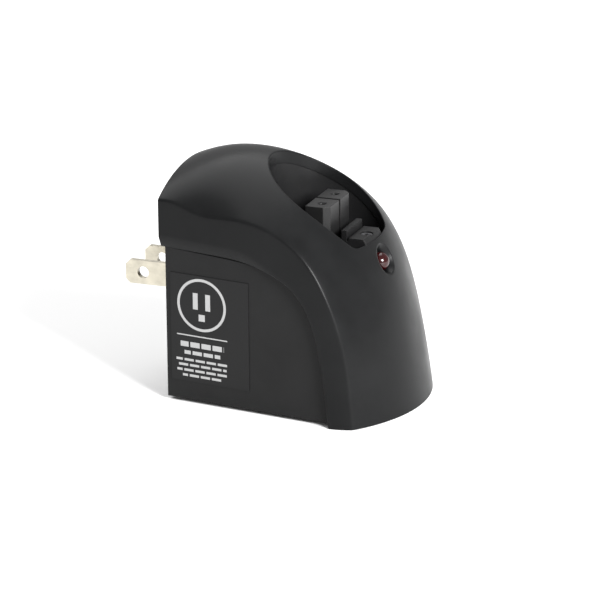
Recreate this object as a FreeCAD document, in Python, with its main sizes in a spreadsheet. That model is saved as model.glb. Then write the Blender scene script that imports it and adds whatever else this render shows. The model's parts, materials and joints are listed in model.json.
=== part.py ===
# Wall-plug charging dock for a cordless trimmer.
# Every separate piece is modelled as its own solid and written to parts/NAME.step.
#
# Axes: millimetres, +Z up, the blades point along +Y, the display front faces -Y and x = 0
# is the mirror plane.  The origin of the finished part is the point of the wall face midway
# between the blades.  While the pieces are made, z is the height above the table that the
# dock stands on, and y = 0 is the rear end of the casing sides; the last step moves every
# finished piece to the origin of the part.
import FreeCAD
import Part
import math
import os
import PartDesign   # brings in the bodies and their features
import Sketcher

doc = FreeCAD.newDocument("charging_dock")
V = FreeCAD.Vector

# ---------------------------------------------------------------------------------------
# driving dimensions
# ---------------------------------------------------------------------------------------
sheet = doc.addObject("Spreadsheet::Sheet", "sheet")
DIMENSIONS = [
    ("rear_half", 21.8, "hood half width at its rear edge"),
    ("rear_edge", 1.2, "how far the hood and the wall pad reach behind the casing sides"),
    ("side_flare", 0.118, "sideways growth per millimetre towards the front"),
    ("band_proud", 1.5, "step from the casing side up to the hood side"),
    ("wall", 2.2, "wall thickness of both shells"),
    ("fit_gap", 0.3, "free gap between the shells"),
    ("casing_lift", 1.0, "gap under the casing floor"),
    ("blade_thick", 1.5, "thickness of a plug blade"),
    ("blade_high", 6.35, "height of a plug blade"),
    ("blade_pitch", 12.7, "distance between the two blades"),
    ("blade_out", 17.1, "reach of a blade behind the casing sides"),
    ("blade_level", 28.9, "height of the blades above the floor"),
    ("blade_hole", 3.2, "hole near the blade tip"),
    ("well_radius", 15.6, "radius of the charging well"),
    ("well_centre", 37.4, "distance of the well axis in front of the casing rear"),
    ("well_front", 49.7, "front end of the well"),
    ("well_floor", 34.0, "height of the well floor"),
    ("well_wall", 1.6, "wall thickness of the well cup"),
    ("tower_top", 52.0, "height of the two contact towers"),
    ("tower_pitch", 9.0, "distance between the two contact holes"),
    ("tower_line", 36.8, "distance of the contact holes in front of the casing rear"),
    ("socket_bore", 1.8, "contact hole in the top of a tower"),
    ("sleeve_outer", 2.8, "outside of a contact sleeve"),
    ("sleeve_inner", 1.7, "bore of a contact sleeve"),
    ("led_size", 5.0, "diameter of the status light"),
    ("led_distance", 53.1, "distance of the status light in front of the casing rear"),
    ("led_level", 37.9, "height of the status light"),
    ("screw_pilot", 2.5, "pilot hole of a case screw"),
    ("screw_clear", 3.4, "clearance hole of a case screw"),
    ("board_thick", 1.6, "circuit board thickness"),
]
DIM = {}
for row, (name, value, note) in enumerate(DIMENSIONS, start=1):
    sheet.set("A%d" % row, note)
    sheet.set("B%d" % row, str(value))
    sheet.setAlias("B%d" % row, name)
    DIM[name] = value
doc.recompute()

WALL = DIM["wall"]
GAP = DIM["fit_gap"]
FLARE = DIM["side_flare"]
REAR_HALF = DIM["rear_half"]
REAR_EDGE = DIM["rear_edge"]
PROUD = DIM["band_proud"]
LIFT = DIM["casing_lift"]
TALL = 80.0     # taller and wider than the whole dock, for cutting blocks
CORNER_Y = -45.0    # where the straight sides end and the front corners begin
nodes = {}


# ---------------------------------------------------------------------------------------
# helpers
# ---------------------------------------------------------------------------------------
def bind(obj, **expressions):
    """Tie properties of an object to the sheet."""
    for prop, text in expressions.items():
        obj.setExpression(prop, text)
    return obj


def box(name, x_span, y_span, z_span, **expressions):
    obj = doc.addObject("Part::Box", name)
    obj.Length = x_span[1] - x_span[0]
    obj.Width = y_span[1] - y_span[0]
    obj.Height = z_span[1] - z_span[0]
    obj.Placement.Base = V(x_span[0], y_span[0], z_span[0])
    return bind(obj, **expressions)


AXIS_TURN = {
    "z": FreeCAD.Rotation(),
    "x": FreeCAD.Rotation(V(0, 1, 0), 90),
    "y": FreeCAD.Rotation(V(1, 0, 0), -90),
}


def cylinder(name, radius, height, base, axis="z", **expressions):
    obj = doc.addObject("Part::Cylinder", name)
    obj.Radius = radius
    obj.Height = height
    turn = AXIS_TURN[axis] if isinstance(axis, str) else axis
    obj.Placement = FreeCAD.Placement(V(*base), turn)
    return bind(obj, **expressions)


def cone(name, radius_low, radius_high, height, base, axis="z"):
    obj = doc.addObject("Part::Cone", name)
    obj.Radius1 = radius_low
    obj.Radius2 = radius_high
    obj.Height = height
    turn = AXIS_TURN[axis] if isinstance(axis, str) else axis
    obj.Placement = FreeCAD.Placement(V(*base), turn)
    return obj


def cut(name, base, tool):
    obj = doc.addObject("Part::Cut", name)
    obj.Base = base
    obj.Tool = tool
    return obj


def cut_all(name, base, tools):
    for number, tool in enumerate(tools):
        base = cut("%s_%d" % (name, number), base, tool)
    return base


def fuse(name, shapes):
    obj = doc.addObject("Part::MultiFuse", name)
    obj.Shapes = shapes
    obj.Refine = True
    return obj


def common(name, shapes):
    obj = doc.addObject("Part::MultiCommon", name)
    obj.Shapes = shapes
    return obj


def node(obj, label):
    """Mark a finished piece: its label is the file name of its STEP."""
    obj.Label = label
    nodes[label] = obj
    return obj


def plane_of(body, role):
    for feature in body.Origin.OriginFeatures:
        if feature.Role == role:
            return feature
    raise ValueError(role)


def shifted(distance):
    """Offset of a sketch along the normal of its plane."""
    return FreeCAD.Placement(V(0, 0, distance), FreeCAD.Rotation())


def sketch_on(body, role, name, offset=None):
    sk = body.newObject("Sketcher::SketchObject", name)
    sk.AttachmentSupport = [(plane_of(body, role), "")]
    sk.MapMode = "FlatFace"
    if offset is not None:
        sk.AttachmentOffset = offset
    return sk


def polygon(sk, points):
    """Closed outline of straight lines, joined end to end, after what the sketch holds."""
    start = sk.GeometryCount
    count = len(points)
    for i in range(count):
        a = V(points[i][0], points[i][1], 0)
        b = V(points[(i + 1) % count][0], points[(i + 1) % count][1], 0)
        sk.addGeometry(Part.LineSegment(a, b), False)
    for i in range(count):
        following = start + (i + 1) % count
        sk.addConstraint(Sketcher.Constraint("Coincident", start + i, 2, following, 1))


def pad_both_ways(body, sk, name, length):
    pad = body.newObject("PartDesign::Pad", name)
    pad.Profile = sk
    pad.Length = length
    pad.Midplane = True
    body.Tip = pad
    return pad


# ---------------------------------------------------------------------------------------
# the two forms that shape the hood: a crowned form and a flared plan outline
# ---------------------------------------------------------------------------------------
# The crown is lofted through arcs.  Each arc stands in a plane that is fanned about a line
# under and behind the dock.  Per station: fan angle, reach of the middle of the arc, radius.
FAN_Y = 20.0
FAN_Z = -20.0
CROWN = [
    (8.0, 75.5, 60.0),
    (20.0, 88.2, 29.5),
    (32.0, 94.4, 35.0),
    (44.0, 94.9, 52.0),
    (56.0, 90.7, 55.0),
    (68.0, 86.9, 43.5),
    (80.0, 84.7, 38.0),
]
CROWN_HALF = 28.2


def crown_form(name, inset):
    """Solid under the crowned surface, moved inwards by inset."""
    body = doc.addObject("PartDesign::Body", name)
    sections = []
    for number, (angle, reach, radius) in enumerate(CROWN):
        turn = FreeCAD.Rotation(V(1, 0, 0), angle)
        offset = FreeCAD.Placement(V(0, FAN_Z, -FAN_Y), turn)
        sk = sketch_on(body, "XZ_Plane", "%s_arc_%d" % (name, number), offset)
        top = reach - inset
        arc_radius = radius - inset
        half = CROWN_HALF - inset
        side = top - arc_radius + math.sqrt(arc_radius ** 2 - half ** 2)
        low = 12.0
        left = V(-half, side, 0)
        right = V(half, side, 0)
        sk.addGeometry(Part.Arc(left, V(0, top, 0), right), False)
        sk.addGeometry(Part.LineSegment(right, V(half, low, 0)), False)
        sk.addGeometry(Part.LineSegment(V(half, low, 0), V(-half, low, 0)), False)
        sk.addGeometry(Part.LineSegment(V(-half, low, 0), left), False)
        sections.append(sk)
    loft = body.newObject("PartDesign::AdditiveLoft", name + "_loft")
    loft.Profile = sections[0]
    loft.Sections = sections[1:]
    loft.Ruled = False
    body.Tip = loft
    return body


def half_width(y, inset):
    return REAR_HALF + FLARE * (REAR_EDGE - y) - inset


def plan_form(name, inset, z_span, rear_y):
    """Upright prism over the flared outline, moved inwards by inset."""
    body = doc.addObject("PartDesign::Body", name)
    height = z_span[1] - z_span[0]
    middle = 0.5 * (z_span[0] + z_span[1])
    sk = sketch_on(body, "XY_Plane", name + "_outline", shifted(middle))
    rear = half_width(rear_y, inset)
    wide = half_width(CORNER_Y, inset)
    turn_point = V(27.0 - inset, -50.0 + 0.3 * inset, 0)
    turn_end = V(24.6 - inset, -56.0 + 0.6 * inset, 0)
    front_y = -70.0
    front = 12.0
    right = [V(rear, rear_y, 0), V(wide, CORNER_Y, 0)]
    sk.addGeometry(Part.LineSegment(right[0], right[1]), False)
    sk.addGeometry(Part.Arc(right[1], turn_point, turn_end), False)
    sk.addGeometry(Part.LineSegment(turn_end, V(front, front_y, 0)), False)
    sk.addGeometry(Part.LineSegment(V(front, front_y, 0), V(-front, front_y, 0)), False)
    left_end = V(-turn_end.x, turn_end.y, 0)
    left_wide = V(-wide, CORNER_Y, 0)
    sk.addGeometry(Part.LineSegment(V(-front, front_y, 0), left_end), False)
    sk.addGeometry(Part.Arc(left_end, V(-turn_point.x, turn_point.y, 0), left_wide), False)
    sk.addGeometry(Part.LineSegment(left_wide, V(-rear, rear_y, 0)), False)
    sk.addGeometry(Part.LineSegment(V(-rear, rear_y, 0), right[0]), False)
    pad_both_ways(body, sk, name + "_pad", height)
    return body


STEP_LINE = [(-12.0, 40.9), (-22.0, 40.3), (-29.0, 39.0), (-35.0, 36.4), (-39.4, 32.2), (-42.3, 26.4),
             (-44.3, 18.5), (-45.7, 9.5), (-46.8, 0.0)]


def window_form(name, shift, low_z, rear_y):
    """Block behind and below the step line where the casing side shows; shift grows it."""
    body = doc.addObject("PartDesign::Body", name)
    sk = sketch_on(body, "YZ_Plane", name + "_outline")
    points = [V(rear_y, 41.5 + shift, 0)]
    for y, z in STEP_LINE:
        lean = min(1.0, max(0.0, (40.9 - z) / 20.0))
        points.append(V(y - shift * lean, z + shift * (1.0 - lean), 0))
    end = V(points[-1].x - 0.2, low_z, 0)
    points.append(end)
    curve = Part.BSplineCurve()
    curve.interpolate(points[1:-1])
    sk.addGeometry(Part.LineSegment(points[0], points[1]), False)
    sk.addGeometry(curve, False)
    sk.addGeometry(Part.LineSegment(points[-2], end), False)
    sk.addGeometry(Part.LineSegment(end, V(rear_y, low_z, 0)), False)
    sk.addGeometry(Part.LineSegment(V(rear_y, low_z, 0), points[0]), False)
    pad_both_ways(body, sk, name + "_pad", 2 * TALL)
    return body


def well_form(name, grow, z_span):
    """Upright prism over the well outline: a circle with a flatter front."""
    body = doc.addObject("PartDesign::Body", name)
    middle = 0.5 * (z_span[0] + z_span[1])
    sk = sketch_on(body, "XY_Plane", name + "_outline", shifted(middle))
    radius = DIM["well_radius"] + grow
    centre_y = -DIM["well_centre"]
    front_y = -DIM["well_front"] - grow
    corner_y = front_y + 1.5
    corner_x = math.sqrt(radius ** 2 - (corner_y - centre_y) ** 2)
    right = V(corner_x, corner_y, 0)
    left = V(-corner_x, corner_y, 0)
    sk.addGeometry(Part.Arc(right, V(0, centre_y + radius, 0), left), False)
    sk.addGeometry(Part.Arc(left, V(0, front_y, 0), right), False)
    pad_both_ways(body, sk, name + "_pad", z_span[1] - z_span[0])
    return body


crown_outer = crown_form("crown_outer", 0.0)
crown_inner = crown_form("crown_inner", WALL)
crown_free = crown_form("crown_free", WALL + GAP)
crown_skin = crown_form("crown_skin", 0.6)
plan_outer = plan_form("plan_outer", 0.0, (0.0, TALL), REAR_EDGE)
plan_inner = plan_form("plan_inner", WALL, (-5.0, TALL), 6.0)
plan_skin = plan_form("plan_skin", 0.6, (3.6, TALL), -2.5)
doc.recompute()

# ---------------------------------------------------------------------------------------
# hood shell
# ---------------------------------------------------------------------------------------
LED_AXIS = FreeCAD.Rotation(V(0, 0, 1), V(0, -0.88, 0.475))
LED_POINT = V(0, -DIM["led_distance"], DIM["led_level"])
LED_DIR = V(0, -0.88, 0.475).normalize()


def on_led_axis(distance):
    """Point on the axis of the status light; positive is out of the hood."""
    p = LED_POINT + LED_DIR * distance
    return (p.x, p.y, p.z)


hood_block = common("hood_block", [crown_outer, plan_outer])
hood_room = common("hood_room", [crown_inner, plan_inner])
side_window = window_form("side_window", 0.0, -5.0, 10.0)
well_hole = well_form("well_hole", 0.0, (30.0, TALL))
hood_wall = cut_all("hood_wall", hood_block, [hood_room, side_window])

FRONT_SCREW_X = 17.0
FRONT_SCREW_Y = -50.0
REAR_SCREW_Z = 51.5
BOSS_RADIUS = 3.6
PILOT_DEPTH = 12.4
boss_parts = []
for side in (-1, 1):
    foot = (side * FRONT_SCREW_X, FRONT_SCREW_Y, LIFT + WALL + 0.4)
    post = cylinder("front_boss_%d" % side, BOSS_RADIUS, TALL, foot)
    boss_parts.append(post)
rear_boss = cylinder("rear_boss", 3.4, 12.0, (0, -14.6, REAR_SCREW_Z), "y")
rear_web = box("rear_web", (-1.2, 1.2), (-14.6, -2.6), (REAR_SCREW_Z, TALL))
boss_raw = fuse("boss_raw", boss_parts + [rear_boss, rear_web])
boss_trim = common("boss_trim", [boss_raw, crown_skin, plan_skin])
hood_full = fuse("hood_full", [hood_wall, boss_trim])

screw_pilots = []
for side in (-1, 1):
    foot = (side * FRONT_SCREW_X, FRONT_SCREW_Y, LIFT + WALL + 0.4)
    pilot = cylinder("front_pilot_%d" % side, 1.25, PILOT_DEPTH, foot, Radius="sheet.screw_pilot / 2")
    screw_pilots.append(pilot)
rear_pilot = cylinder("rear_pilot", 1.25, 11.0, (0, -12.6, REAR_SCREW_Z), "y", Radius="sheet.screw_pilot / 2")
screw_pilots.append(rear_pilot)
LED_BORE = DIM["led_size"] / 2 + 0.55
led_bore = cylinder("led_bore", LED_BORE, 20.0, on_led_axis(-14.0), LED_AXIS)
bind(led_bore, Radius="sheet.led_size / 2 + 0.55")
led_flare = cone("led_flare", LED_BORE, LED_BORE + 1.0, 1.6, on_led_axis(-0.9), LED_AXIS)
hood_shell = cut_all("hood_shell", hood_full, [well_hole, led_bore, led_flare] + screw_pilots)
node(hood_shell, "hood_shell")

# ---------------------------------------------------------------------------------------
# rear casing: flat sides, wall face, floor and a lip that reaches up behind the hood
# ---------------------------------------------------------------------------------------
casing_plan = plan_form("casing_plan", PROUD, (LIFT, TALL), 0.0)
casing_window = window_form("casing_window", -0.2, LIFT, 0.0)
casing_sides = common("casing_sides", [casing_plan, casing_window])
casing_room_plan = plan_form("casing_room_plan", PROUD + WALL, (LIFT + WALL, TALL), -WALL)
casing_side_walls = cut("casing_side_walls", casing_sides, casing_room_plan)

inner_plan = plan_form("inner_plan", WALL + GAP, (LIFT, TALL), 0.0)
lip_room = plan_form("lip_room", WALL + GAP + 1.5, (LIFT - 1.0, TALL), 5.0)
lip_window = box("lip_window", (-30.0, 30.0), (-28.0, -1.0), (36.0, 43.2))
lip_ring = cut("lip_ring", inner_plan, lip_room)
lip = common("casing_lip_form", [lip_ring, lip_window, crown_free])
rear_plate_block = box("rear_plate_block", (-30, 30), (-WALL, 0), (LIFT, 62), Width="sheet.wall")
rear_plate = common("rear_plate", [rear_plate_block, inner_plan, crown_free])
floor_block = box("floor_block", (-30, 30), (-70, 0), (LIFT, LIFT + WALL), Height="sheet.wall")
floor_plate = common("floor_plate", [floor_block, inner_plan, crown_free])

# The wall pad stands proud of the rear plate and lies flush with the rear edge of the hood.
PAD_HALF_X = 15.5
PAD_HALF_Z = 13.5
PAD_CORNER = 3.0
BLADE_Z = DIM["blade_level"]
pad_y = (-0.5, REAR_EDGE)
pad_z = (BLADE_Z - PAD_HALF_Z, BLADE_Z + PAD_HALF_Z)
inner_x = PAD_HALF_X - PAD_CORNER
pad_parts = [
    box("pad_wide", (-PAD_HALF_X, PAD_HALF_X), pad_y, (pad_z[0] + PAD_CORNER, pad_z[1] - PAD_CORNER)),
    box("pad_high", (-inner_x, inner_x), pad_y, pad_z),
]
for number, (x_side, z_side) in enumerate(((-1, -1), (1, -1), (1, 1), (-1, 1))):
    centre = (x_side * inner_x, pad_y[0], BLADE_Z + z_side * (PAD_HALF_Z - PAD_CORNER))
    pad_parts.append(cylinder("pad_corner_%d" % number, PAD_CORNER, REAR_EDGE + 0.5, centre, "y"))
wall_pad = fuse("wall_pad", pad_parts)
casing_solid = fuse("casing_solid", [casing_side_walls, lip, rear_plate, floor_plate, wall_pad])

casing_cuts = []
for side in (-1, 1):
    x = side * DIM["blade_pitch"] / 2
    slot = box("blade_slot_%d" % side, (x - 0.95, x + 0.95), (-5, 5), (BLADE_Z - 3.4, BLADE_Z + 3.4))
    bind(slot, Length="sheet.blade_thick + 0.4", Height="sheet.blade_high + 0.45")
    casing_cuts.append(slot)
    foot = (side * FRONT_SCREW_X, FRONT_SCREW_Y, -2.0)
    casing_cuts.append(cylinder("floor_hole_%d" % side, 1.7, 10.0, foot, Radius="sheet.screw_clear / 2"))
rear_hole = cylinder("rear_hole", 1.7, 10.0, (0, -5.0, REAR_SCREW_Z), "y", Radius="sheet.screw_clear / 2")
casing_cuts.append(rear_hole)
rear_casing = cut_all("rear_casing", casing_solid, casing_cuts)
node(rear_casing, "rear_casing")

# ---------------------------------------------------------------------------------------
# charging well: cup, cross rib, light housing at the front, slot in the rear wall
# ---------------------------------------------------------------------------------------
WELL_FLOOR = DIM["well_floor"]
CUP_WALL = DIM["well_wall"]
HOUSING_HALF = 5.6
HOUSING_REAR = -43.9
HOUSING_TOP = 43.8
HOUSING_WALL = 1.5
SCREW_Y = -47.2
crown_cup = crown_form("crown_cup", WALL + 0.15)
crown_ledge = crown_form("crown_ledge", 0.35)
cup_outer = well_form("cup_outer", CUP_WALL, (WELL_FLOOR - CUP_WALL, TALL))
cup_block = common("cup_block", [cup_outer, crown_cup])
cup_inner = well_form("cup_inner", 0.05, (WELL_FLOOR, TALL))
cup_wall = cut("cup_wall", cup_block, cup_inner)
housing_x = (-HOUSING_HALF, HOUSING_HALF)
housing_low_block = box("housing_low_block", housing_x, (-55.0, HOUSING_REAR), (WELL_FLOOR - 0.5, 40.5))
housing_low_limit = well_form("housing_low_limit", 0.4, (0.0, TALL))
housing_low = common("housing_low", [housing_low_block, housing_low_limit, crown_cup])
housing_top_block = box("housing_top_block", housing_x, (-55.0, HOUSING_REAR), (40.0, HOUSING_TOP))
housing_top_limit = well_form("housing_top_limit", -0.15, (0.0, TALL))
housing_top = common("housing_top", [housing_top_block, housing_top_limit, crown_ledge])
rib = box("cross_rib", housing_x, (HOUSING_REAR, -42.4), (WELL_FLOOR - 0.5, 45.7))
cup_solid = fuse("cup_solid", [cup_wall, housing_low, housing_top, rib])
inside = HOUSING_HALF - HOUSING_WALL
housing_room = box("housing_room", (-inside, inside), (-50.2, HOUSING_REAR), (25.0, HOUSING_TOP - 1.9))
housing_slit = box("housing_slit", housing_x, (HOUSING_REAR - 0.45, HOUSING_REAR), (HOUSING_TOP - 0.9, 60.0))
rear_slot = box("rear_slot", (-2.3, 2.3), (-23.5, -18.0), (50.3, 54.3))
screw_seat = cylinder("screw_seat", 1.65, 20.0, (0, SCREW_Y, HOUSING_TOP - 1.0))
screw_hole = cylinder("screw_hole", 1.15, 20.0, (0, SCREW_Y, HOUSING_TOP - 3.0))
light_hole = cylinder("light_hole", 3.3, 12.0, on_led_axis(-9.5), LED_AXIS)
wire_holes = []
for side in (-1, 1):
    x = side * DIM["tower_pitch"] / 2
    wire_holes.append(cylinder("tail_hole_%d" % side, 1.3, 10.0, (x, -DIM["tower_line"], 28.0)))
cup_cuts = [housing_room, housing_slit, rear_slot, screw_seat, screw_hole, light_hole]
charging_well = cut_all("charging_well", cup_solid, cup_cuts + wire_holes)
node(charging_well, "charging_well")

# ---------------------------------------------------------------------------------------
# contact towers with their sleeves
# ---------------------------------------------------------------------------------------
TOWER_Y = -DIM["tower_line"]
TOWER_TOP = DIM["tower_top"]
TOWER_SPLIT = 0.5
TOWER_SIDE = 8.1
TOWER_BEVEL = 1.5
TOWER_REAR = TOWER_Y + 3.2
TOWER_FRONT = TOWER_Y - 3.1
FOOT_HIGH = 2.2
tower_body = doc.addObject("PartDesign::Body", "tower_body")
tower_sketch = sketch_on(tower_body, "XY_Plane", "tower_plan", shifted(WELL_FLOOR + 2.0))
for side in (-1, 1):
    polygon(tower_sketch, [
        (side * TOWER_SPLIT, TOWER_REAR),
        (side * TOWER_SIDE, TOWER_REAR),
        (side * TOWER_SIDE, TOWER_FRONT + TOWER_BEVEL),
        (side * (TOWER_SIDE - TOWER_BEVEL), TOWER_FRONT),
        (side * TOWER_SPLIT, TOWER_FRONT),
    ])
tower_pad = tower_body.newObject("PartDesign::Pad", "tower_pad")
tower_pad.Profile = tower_sketch
tower_pad.Length = TOWER_TOP - WELL_FLOOR - 2.0
tower_pad.AllowMultiFace = True
tower_body.Tip = tower_pad
foot_z = (WELL_FLOOR, WELL_FLOOR + FOOT_HIGH)
tower_base = box("tower_base", (-10.0, 10.0), (TOWER_Y - 4.2, TOWER_Y + 4.2), foot_z)
tower_solid = fuse("tower_solid", [tower_base, tower_body])
tower_cuts = []
for side in (-1, 1):
    x = side * DIM["tower_pitch"] / 2
    bore = cylinder("tower_bore_%d" % side, DIM["socket_bore"] / 2, 30.0, (x, TOWER_Y, WELL_FLOOR))
    bind(bore, Radius="sheet.socket_bore / 2")
    seat = cylinder("tower_seat_%d" % side, 1.45, 16.0, (x, TOWER_Y, WELL_FLOOR - 0.5))
    bind(seat, Radius="sheet.sleeve_outer / 2 + 0.05")
    mouth = cone("tower_mouth_%d" % side, 0.9, 1.3, 0.4, (x, TOWER_Y, TOWER_TOP - 0.4))
    tower_cuts += [bore, seat, mouth]
contact_towers = cut_all("contact_towers", tower_solid, tower_cuts)
node(contact_towers, "contact_towers")

for side, word in ((-1, "left"), (1, "right")):
    x = side * DIM["tower_pitch"] / 2
    tube = cylinder("sleeve_tube_" + word, DIM["sleeve_outer"] / 2, 14.0, (x, TOWER_Y, WELL_FLOOR + 1.4))
    bind(tube, Radius="sheet.sleeve_outer / 2")
    tail = cylinder("sleeve_tail_" + word, 0.9, 6.6, (x, TOWER_Y, WELL_FLOOR - 4.6))
    hollow = cylinder("sleeve_bore_" + word, DIM["sleeve_inner"] / 2, 12.0, (x, TOWER_Y, WELL_FLOOR + 3.6))
    bind(hollow, Radius="sheet.sleeve_inner / 2")
    sleeve = cut("sleeve_" + word, fuse("sleeve_solid_" + word, [tube, tail]), hollow)
    node(sleeve, "contact_sleeve_" + word)

# ---------------------------------------------------------------------------------------
# screws
# ---------------------------------------------------------------------------------------
def screw(label, head_radius, head_height, shank_radius, length, seat, axis):
    """Pan-head screw: seat is the underside of the head, axis points from head to tip."""
    turn = FreeCAD.Rotation(V(0, 0, 1), V(*axis))
    back = FreeCAD.Rotation(V(0, 0, 1), V(-axis[0], -axis[1], -axis[2]))
    shank = cylinder(label + "_shank", shank_radius, length - 1.0, seat, turn)
    end = V(*seat) + V(*axis) * (length - 1.0)
    tip = cone(label + "_tip", shank_radius, shank_radius * 0.45, 1.0, (end.x, end.y, end.z), turn)
    head = cylinder(label + "_head", head_radius, head_height, seat, back)
    solid = fuse(label + "_solid", [shank, tip, head])
    top = V(*seat) - V(*axis) * (head_height + 0.01)
    depth = head_height * 0.55
    arms = []
    long_side = head_radius * 1.1
    short_side = head_radius * 0.24
    for number, size in enumerate(((long_side, short_side), (short_side, long_side))):
        arm = doc.addObject("Part::Box", "%s_arm_%d" % (label, number))
        arm.Length = size[0]
        arm.Width = size[1]
        arm.Height = depth
        corner = turn.multVec(V(-size[0] / 2, -size[1] / 2, 0))
        arm.Placement = FreeCAD.Placement(top + corner, turn)
        arms.append(arm)
    return node(cut_all(label, solid, arms), label)


for side, word in ((-1, "left"), (1, "right")):
    seat = (side * FRONT_SCREW_X, FRONT_SCREW_Y, LIFT)
    screw("case_screw_" + word, 2.7, 0.9, 1.2, 13.0, seat, (0, 0, 1))
screw("rear_screw", 2.7, 1.1, 1.2, 12.0, (0, 0.0, REAR_SCREW_Z), (0, -1, 0))
screw("well_screw", 1.5, 0.7, 0.95, 4.6, (0, SCREW_Y, HOUSING_TOP - 1.0), (0, 0, -1))

# ---------------------------------------------------------------------------------------
# plug blades and their carrier
# ---------------------------------------------------------------------------------------
CARRIER_Y = (-12.2, -WALL - 0.05)
BLADE_TAIL = -16.0
TAIL_HALF = 1.6     # half height of the narrow tail that the wire is soldered to
TAIL_START = -9.0
for side, word in ((-1, "left"), (1, "right")):
    body = doc.addObject("PartDesign::Body", "blade_body_" + word)
    x = side * DIM["blade_pitch"] / 2
    sk = sketch_on(body, "YZ_Plane", "blade_outline_" + word, shifted(x))
    high = BLADE_Z + DIM["blade_high"] / 2
    low = BLADE_Z - DIM["blade_high"] / 2
    out = DIM["blade_out"]
    nip = 1.2
    polygon(sk, [
        (out - nip, low),
        (out, low + nip),
        (out, high - nip),
        (out - nip, high),
        (TAIL_START, high),
        (TAIL_START, BLADE_Z + TAIL_HALF),
        (BLADE_TAIL, BLADE_Z + TAIL_HALF),
        (BLADE_TAIL, BLADE_Z - TAIL_HALF),
        (TAIL_START, BLADE_Z - TAIL_HALF),
        (TAIL_START, low),
    ])
    pad = pad_both_ways(body, sk, "blade_pad_" + word, DIM["blade_thick"])
    bind(pad, Length="sheet.blade_thick")
    hole_sketch = sketch_on(body, "YZ_Plane", "blade_hole_" + word, shifted(x))
    centre = V(12.2, BLADE_Z, 0)
    hole_sketch.addGeometry(Part.Circle(centre, V(0, 0, 1), DIM["blade_hole"] / 2), False)
    tail_hole = Part.Circle(V(BLADE_TAIL + 1.8, BLADE_Z, 0), V(0, 0, 1), 0.8)
    hole_sketch.addGeometry(tail_hole, False)
    pocket = body.newObject("PartDesign::Pocket", "blade_pocket_" + word)
    pocket.Profile = hole_sketch
    pocket.Type = 1
    pocket.Midplane = True
    body.Tip = pocket
    node(body, "blade_" + word)

carrier_block = box("carrier_block", (-12.0, 12.0), CARRIER_Y, (BLADE_Z - 6.5, BLADE_Z + 6.5))
carrier_cuts = []
for side in (-1, 1):
    x = side * DIM["blade_pitch"] / 2
    half = DIM["blade_thick"] / 2 + 0.03
    slot_x = (x - half, x + half)
    wide_z = (BLADE_Z - 3.2, BLADE_Z + 3.2)
    tail_z = (BLADE_Z - TAIL_HALF - 0.05, BLADE_Z + TAIL_HALF + 0.05)
    wide_slot = box("carrier_slot_%d" % side, slot_x, (TAIL_START - 0.05, 5.0), wide_z)
    tail_slot = box("carrier_tail_%d" % side, slot_x, (-20.0, 0.0), tail_z)
    carrier_cuts += [wide_slot, tail_slot]
middle_relief = box("carrier_relief", (-3.2, 3.2), (-20.0, -6.0), (BLADE_Z - 10, BLADE_Z + 10))
carrier_cuts.append(middle_relief)
node(cut_all("blade_carrier", carrier_block, carrier_cuts), "blade_carrier")

# ---------------------------------------------------------------------------------------
# transformer: core, bobbin, two windings, thermal fuse, bracket
# ---------------------------------------------------------------------------------------
FLOOR_TOP = LIFT + WALL
T_Y = -26.5         # middle of the transformer
T_Z = FLOOR_TOP + 0.8
CORE_HALF_X = 14.0
CORE_HALF_Y = 5.5
CORE_HIGH = 22.0
CORE_TOP = T_Z + CORE_HIGH
YOKE = 4.5
core_y = (T_Y - CORE_HALF_Y, T_Y + CORE_HALF_Y)
core_block = box("core_block", (-CORE_HALF_X, CORE_HALF_X), core_y, (T_Z, CORE_TOP))
core_windows = []
for side in (-1, 1):
    span = (4.0, 9.5) if side > 0 else (-9.5, -4.0)
    window = box("core_window_%d" % side, span, (T_Y - 10, T_Y + 10), (T_Z + YOKE, CORE_TOP - YOKE))
    core_windows.append(window)
node(cut_all("transformer_core", core_block, core_windows), "transformer_core")

BOBBIN_Z = (T_Z + YOKE + 0.1, CORE_TOP - YOKE - 0.1)
BOBBIN_HALF = (9.3, CORE_HALF_Y + 5.0)
HOLE_HALF = (4.1, CORE_HALF_Y + 0.1)
TUBE_HALF = (5.0, CORE_HALF_Y + 1.1)
FLANGE = 0.8
MIDDLE_Z = (T_Z + 10.6, T_Z + 11.4)


def ring(name, half, hole, z_span):
    """Square ring about the middle of the transformer; half and hole are (x, y) half sizes."""
    outer = box(name + "_outer", (-half[0], half[0]), (T_Y - half[1], T_Y + half[1]), z_span)
    through = (z_span[0] - 1, z_span[1] + 1)
    inner = box(name + "_inner", (-hole[0], hole[0]), (T_Y - hole[1], T_Y + hole[1]), through)
    return cut(name, outer, inner)


bobbin_parts = [
    ring("bobbin_tube", TUBE_HALF, HOLE_HALF, BOBBIN_Z),
    ring("bobbin_low", BOBBIN_HALF, HOLE_HALF, (BOBBIN_Z[0], BOBBIN_Z[0] + FLANGE)),
    ring("bobbin_middle", BOBBIN_HALF, HOLE_HALF, MIDDLE_Z),
    ring("bobbin_high", BOBBIN_HALF, HOLE_HALF, (BOBBIN_Z[1] - FLANGE, BOBBIN_Z[1])),
]
node(fuse("transformer_bobbin", bobbin_parts), "transformer_bobbin")
SLACK = 0.05
coil_hole = (TUBE_HALF[0] + SLACK, TUBE_HALF[1] + SLACK)
low_space = (BOBBIN_Z[0] + FLANGE + SLACK, MIDDLE_Z[0] - SLACK)
high_space = (MIDDLE_Z[1] + SLACK, BOBBIN_Z[1] - FLANGE - SLACK)
primary = ring("winding_primary", (8.9, CORE_HALF_Y + 4.4), coil_hole, low_space)
node(primary, "winding_primary")
secondary = ring("winding_secondary", (8.7, CORE_HALF_Y + 4.1), coil_hole, high_space)
node(secondary, "winding_secondary")

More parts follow.
